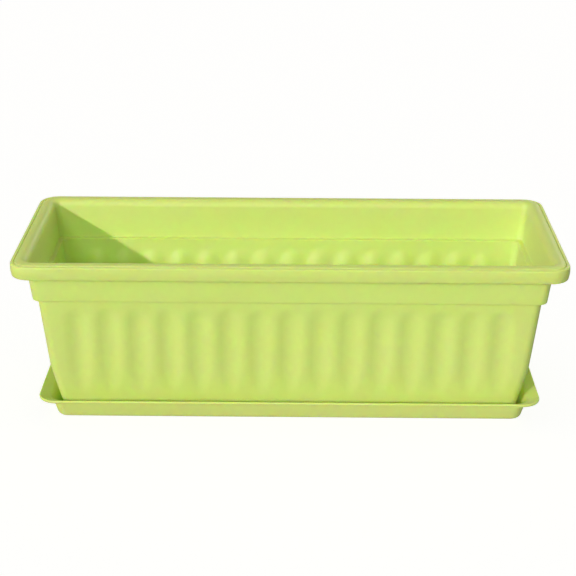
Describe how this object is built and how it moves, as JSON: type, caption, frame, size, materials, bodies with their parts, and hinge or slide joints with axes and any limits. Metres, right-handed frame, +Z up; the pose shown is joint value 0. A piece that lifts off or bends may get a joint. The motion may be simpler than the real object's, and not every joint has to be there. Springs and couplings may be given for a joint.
{
  "type": "self watering planter",
  "caption": "Long rectangular self watering window planter: fluted trough with a broad rim in a shallow reservoir tray, with perforated soil platforms, wick cups and cotton cords.",
  "frame": {"origin": "centre of the reservoir tray's underside, on the surface the planter stands on", "axes": "+X along the trough's length, -Y towards the long side seen in the picture, +Z up"},
  "size_m": [0.6, 0.23, 0.198],
  "materials": {
    "lime_plastic": "satin injection-moulded polypropylene, slightly translucent",
    "charcoal_plastic": "matte recycled polypropylene with a fine moulded texture",
    "cotton_cord": "twisted unbleached cotton"
  },
  "bodies": {
    "tray": {"reservoir_tray": "lime_plastic"},
    "box": {"planter_box": "lime_plastic"},
    "platform_right": {"soil_platform_right": "lime_plastic"},
    "platform_left": {"soil_platform_left": "lime_plastic"},
    "cup_right_inner": {"wick_cup_right_inner": "charcoal_plastic", "wick_cord_right_inner": "cotton_cord"},
    "cup_right_outer": {"wick_cup_right_outer": "charcoal_plastic", "wick_cord_right_outer": "cotton_cord"},
    "cup_left_inner": {"wick_cup_left_inner": "charcoal_plastic", "wick_cord_left_inner": "cotton_cord"},
    "cup_left_outer": {"wick_cup_left_outer": "charcoal_plastic", "wick_cord_left_outer": "cotton_cord"}
  },
  "joints": [
    {"name": "box_lift", "type": "slide", "parent": "tray", "child": "box", "axis": [0, 0, 1], "range_m": [0, 0.07]},
    {"name": "platform_lift_right", "type": "slide", "parent": "box", "child": "platform_right", "axis": [0, 0, 1], "range_m": [0, 0.24]},
    {"name": "platform_lift_left", "type": "slide", "parent": "box", "child": "platform_left", "axis": [0, 0, 1], "range_m": [0, 0.24]},
    {"name": "cup_lift_right_inner", "type": "slide", "parent": "platform_right", "child": "cup_right_inner", "axis": [0, 0, 1], "range_m": [0, 0.06]},
    {"name": "cup_lift_right_outer", "type": "slide", "parent": "platform_right", "child": "cup_right_outer", "axis": [0, 0, 1], "range_m": [0, 0.06]},
    {"name": "cup_lift_left_inner", "type": "slide", "parent": "platform_left", "child": "cup_left_inner", "axis": [0, 0, 1], "range_m": [0, 0.06]},
    {"name": "cup_lift_left_outer", "type": "slide", "parent": "platform_left", "child": "cup_left_outer", "axis": [0, 0, 1], "range_m": [0, 0.06]}
  ]
}
